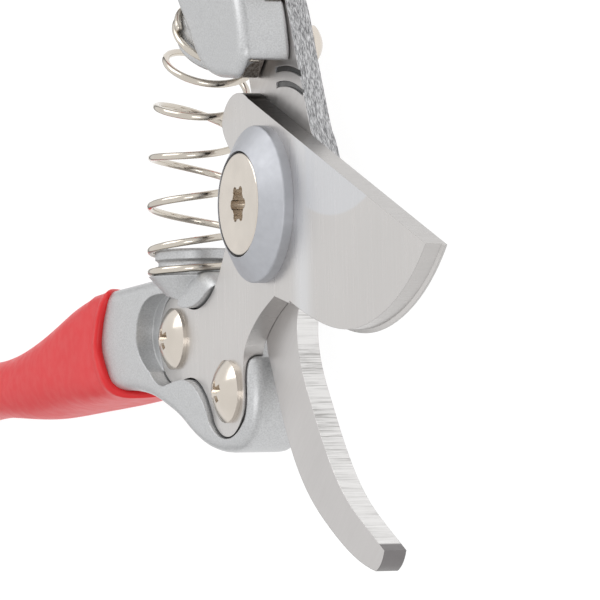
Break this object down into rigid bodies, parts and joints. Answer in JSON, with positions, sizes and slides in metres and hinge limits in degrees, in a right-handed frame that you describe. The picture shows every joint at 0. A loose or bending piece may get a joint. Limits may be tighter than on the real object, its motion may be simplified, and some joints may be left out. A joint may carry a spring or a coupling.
{
  "type": "pruning shears",
  "caption": "One-hand bypass pruning shears with a curved cutting blade, hooked counter blade, bolted pivot disc, coil return spring, thumb catch and dipped red grips.",
  "frame": {"origin": "on the pivot axis, in the outer face of the pivot nut and bolt end that the shears rest on", "axes": "+X bisects the open jaws towards the tips, +Z leaves the cutting blade's outer face, shears open at rest"},
  "size_m": [0.1862, 0.1721, 0.0167],
  "materials": {
    "blade_steel": "ground satin",
    "hook_steel": "ground satin",
    "catch_steel": "satin",
    "disc_steel": "turned satin",
    "screw_nickel": "nickel plated",
    "washer_steel": "satin",
    "bush_bronze": "turned",
    "spring_wire": "bright nickel",
    "cast_handle": "fine-grained silver coat",
    "red_grip": "dipped soft plastic"
  },
  "bodies": {
    "blade_half": {"cutting_blade": "blade_steel", "blade_handle": "cast_handle", "blade_handle_grip": "red_grip", "blade_screw_rear": "screw_nickel", "blade_screw_front": "screw_nickel", "pivot_disc": "disc_steel", "pivot_bolt": "screw_nickel", "pivot_nut": "screw_nickel", "pivot_spring_washer": "washer_steel", "pivot_bush": "bush_bronze", "pivot_washer": "washer_steel", "coil_spring": "spring_wire"},
    "hook_half": {"hook_blade": "hook_steel", "hook_handle": "cast_handle", "hook_handle_grip": "red_grip", "hook_screw_front": "screw_nickel", "hook_screw_rear": "screw_nickel", "catch_pin": "screw_nickel", "catch_spring": "spring_wire"},
    "catch": {"lock_catch": "catch_steel"}
  },
  "joints": [
    {"name": "jaw_pivot", "type": "hinge", "parent": "blade_half", "child": "hook_half", "pos_m": [0, 0, 0.0084], "axis": [0, 0, 1], "range_deg": [0, 48], "stiffness_Nm_per_rad": 0.8, "springref_deg": -28.65, "deforming": ["coil_spring"]},
    {"name": "catch_turn", "type": "hinge", "parent": "hook_half", "child": "catch", "pos_m": [-0.01288, 0.02369, 0.0099], "axis": [0, 0, 1], "range_deg": [0, 34]}
  ]
}
